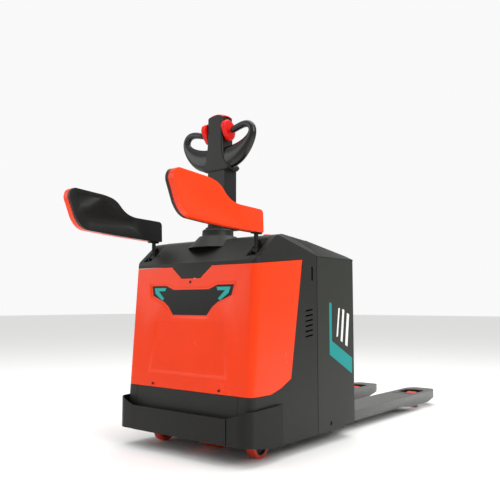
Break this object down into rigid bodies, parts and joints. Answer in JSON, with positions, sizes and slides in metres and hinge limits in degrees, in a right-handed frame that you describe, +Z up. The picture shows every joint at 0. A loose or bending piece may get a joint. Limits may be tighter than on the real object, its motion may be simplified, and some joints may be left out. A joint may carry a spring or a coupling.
{
  "type": "electric pallet truck",
  "caption": "Stand-on electric pallet truck with battery box, low lift forks, tiller with hand loops, folding side guards, swivel casters and a steered drive wheel.",
  "frame": {"origin": "middle of the footprint, on the floor", "axes": "+Y along the forks towards their tips, +X to the right of the operator who faces the forks, +Z up"},
  "size_m": [0.744, 2.3142, 1.482],
  "materials": {
    "cover_orange": "gloss",
    "cover_black": "satin",
    "frame_black": "satin",
    "panel_charcoal": "satin",
    "fork_grey": "satin",
    "dark_panel": "gloss",
    "teal": "gloss",
    "polyurethane": "satin",
    "wheel_hub": "satin",
    "steel": "machined",
    "zinc": "plated",
    "grip_black": "gloss",
    "red": "gloss",
    "soft_black": "soft",
    "housing_grey": "cast",
    "alu": "finned",
    "battery_grey": "satin"
  },
  "bodies": {
    "chassis": {"chassis_frame": "frame_black", "bumper_plate": "frame_black", "bumper_guard_left": "frame_black", "bumper_guard_right": "frame_black", "lower_skirt": "cover_black", "front_cover": "cover_orange", "face_panel": "dark_panel", "accent_lamps": "teal", "top_cowl": "cover_black", "side_cover_left": "cover_black", "side_cover_right": "cover_black", "cover_screws": "zinc", "footboard_hinge": "steel", "lift_cylinder": "frame_black", "pump_pack": "housing_grey", "controller": "alu", "slewing_ring": "steel", "column_plate": "cover_black", "guard_brackets": "frame_black", "switch_panel": "cover_black"},
    "steer_unit": {"gearbox": "housing_grey", "traction_motor": "frame_black", "steering_column": "frame_black", "tiller_bracket": "frame_black"},
    "drive_wheel": {"drive_hub": "wheel_hub", "drive_tyre": "polyurethane"},
    "tiller": {"tiller_mast": "frame_black", "tiller_head": "grip_black", "hand_loops": "grip_black"},
    "throttle": {"throttle": "red"},
    "belly_button": {"belly_button": "red"},
    "lift_button": {"lift_button": "grip_black"},
    "lower_button": {"lower_button": "grip_black"},
    "horn_button": {"horn_button": "red"},
    "key": {"key": "steel"},
    "stop_button": {"stop_button": "red"},
    "guard_arm_left": {"arm_shell_left": "cover_orange", "arm_pad_left": "soft_black", "arm_rod_left": "frame_black"},
    "guard_arm_right": {"arm_shell_right": "cover_orange", "arm_pad_right": "soft_black", "arm_rod_right": "frame_black"},
    "caster_left": {"caster_fork_left": "frame_black"},
    "caster_right": {"caster_fork_right": "frame_black"},
    "caster_wheel_left": {"caster_wheel_left": "polyurethane"},
    "caster_wheel_right": {"caster_wheel_right": "polyurethane"},
    "fork_carriage": {"lift_carriage": "panel_charcoal", "fork_left": "fork_grey", "fork_right": "fork_grey", "side_panel_left": "panel_charcoal", "side_panel_right": "panel_charcoal", "battery_pack": "battery_grey", "side_marks": "teal"},
    "battery_lid": {"battery_lid": "cover_black"},
    "load_yoke_left": {"load_yoke_left": "frame_black"},
    "load_yoke_right": {"load_yoke_right": "frame_black"},
    "load_wheel_left": {"load_wheel_left": "polyurethane"},
    "load_wheel_right": {"load_wheel_right": "polyurethane"},
    "bell_crank": {"bell_crank": "steel"},
    "pull_rods": {"pull_rods": "steel"}
  },
  "joints": [
    {"name": "steer", "type": "hinge", "parent": "chassis", "child": "steer_unit", "pos_m": [0, -0.567, 0.5], "axis": [0, 0, 1], "range_deg": [-90, 90]},
    {"name": "drive_wheel_spin", "type": "hinge", "parent": "steer_unit", "child": "drive_wheel", "pos_m": [0, -0.567, 0.115], "axis": [1, 0, 0], "continuous": true},
    {"name": "tiller_tilt", "type": "hinge", "parent": "steer_unit", "child": "tiller", "pos_m": [0, -0.549, 1.014], "axis": [1, 0, 0], "range_deg": [0, 60]},
    {"name": "throttle_turn", "type": "hinge", "parent": "tiller", "child": "throttle", "pos_m": [0, -0.565, 1.392], "axis": [1, 0, 0], "range_deg": [-20, 20], "stiffness_Nm_per_rad": 0.6},
    {"name": "belly_press", "type": "slide", "parent": "tiller", "child": "belly_button", "axis": [0, 0, -1], "range_m": [0, 0.004], "stiffness_N_per_m": 600},
    {"name": "lift_press", "type": "slide", "parent": "tiller", "child": "lift_button", "axis": [0, -1, 0], "range_m": [0, 0.003], "stiffness_N_per_m": 400},
    {"name": "lower_press", "type": "slide", "parent": "tiller", "child": "lower_button", "axis": [0, -1, 0], "range_m": [0, 0.003], "stiffness_N_per_m": 400},
    {"name": "horn_press", "type": "slide", "parent": "tiller", "child": "horn_button", "axis": [0, -1, 0], "range_m": [0, 0.003], "stiffness_N_per_m": 400},
    {"name": "key_turn", "type": "hinge", "parent": "chassis", "child": "key", "pos_m": [-0.15, -0.397, 0.915], "axis": [0, 0, 1], "range_deg": [-60, 0]},
    {"name": "stop_press", "type": "slide", "parent": "chassis", "child": "stop_button", "axis": [0, 0, -1], "range_m": [0, 0.005], "stiffness_N_per_m": 800},
    {"name": "guard_arm_left_fold", "type": "hinge", "parent": "chassis", "child": "guard_arm_left", "pos_m": [-0.306, -0.674, 0.832], "axis": [1, 0, 0], "range_deg": [0, 88]},
    {"name": "caster_left_swivel", "type": "hinge", "parent": "chassis", "child": "caster_left", "pos_m": [-0.272, -0.643, 0.12], "axis": [0, 0, 1], "continuous": true},
    {"name": "caster_left_roll", "type": "hinge", "parent": "caster_left", "child": "caster_wheel_left", "pos_m": [-0.272, -0.625, 0.05], "axis": [1, 0, 0], "continuous": true},
    {"name": "guard_arm_right_fold", "type": "hinge", "parent": "chassis", "child": "guard_arm_right", "pos_m": [0.306, -0.674, 0.832], "axis": [1, 0, 0], "range_deg": [0, 88]},
    {"name": "caster_right_swivel", "type": "hinge", "parent": "chassis", "child": "caster_right", "pos_m": [0.272, -0.643, 0.12], "axis": [0, 0, 1], "continuous": true},
    {"name": "caster_right_roll", "type": "hinge", "parent": "caster_right", "child": "caster_wheel_right", "pos_m": [0.272, -0.625, 0.05], "axis": [1, 0, 0], "continuous": true},
    {"name": "fork_lift", "type": "slide", "parent": "chassis", "child": "fork_carriage", "axis": [0, 0, 1], "range_m": [0, 0.12]},
    {"name": "lid_open", "type": "hinge", "parent": "fork_carriage", "child": "battery_lid", "pos_m": [0, 0.013, 0.82], "axis": [-1, 0, 0], "range_deg": [0, 70]},
    {"name": "load_yoke_left_swing", "type": "hinge", "parent": "fork_carriage", "child": "load_yoke_left", "pos_m": [-0.195, 0.81859, 0.058], "axis": [-1, 0, 0], "range_deg": [0, 50]},
    {"name": "load_wheel_left_roll", "type": "hinge", "parent": "load_yoke_left", "child": "load_wheel_left", "pos_m": [-0.195, 0.983, 0.044], "axis": [1, 0, 0], "continuous": true},
    {"name": "load_yoke_right_swing", "type": "hinge", "parent": "fork_carriage", "child": "load_yoke_right", "pos_m": [0.195, 0.81859, 0.058], "axis": [-1, 0, 0], "range_deg": [0, 50]},
    {"name": "load_wheel_right_roll", "type": "hinge", "parent": "load_yoke_right", "child": "load_wheel_right", "pos_m": [0.195, 0.983, 0.044], "axis": [1, 0, 0], "continuous": true},
    {"name": "bell_crank_turn", "type": "hinge", "parent": "fork_carriage", "child": "bell_crank", "pos_m": [0, -0.137, 0.058], "axis": [-1, 0, 0], "range_deg": [0, 50]},
    {"name": "pull_rods_swing", "type": "hinge", "parent": "bell_crank", "child": "pull_rods", "pos_m": [0, -0.137, 0.036], "axis": [-1, 0, 0], "range_deg": [-50, 0]}
  ],
  "couplings": [
    {"joint": "load_yoke_left_swing", "follows": "fork_lift", "rad_per_m": 7.1902},
    {"joint": "load_yoke_right_swing", "follows": "fork_lift", "rad_per_m": 7.1902},
    {"joint": "bell_crank_turn", "follows": "fork_lift", "rad_per_m": 7.1902},
    {"joint": "pull_rods_swing", "follows": "fork_lift", "rad_per_m": -7.1902}
  ]
}
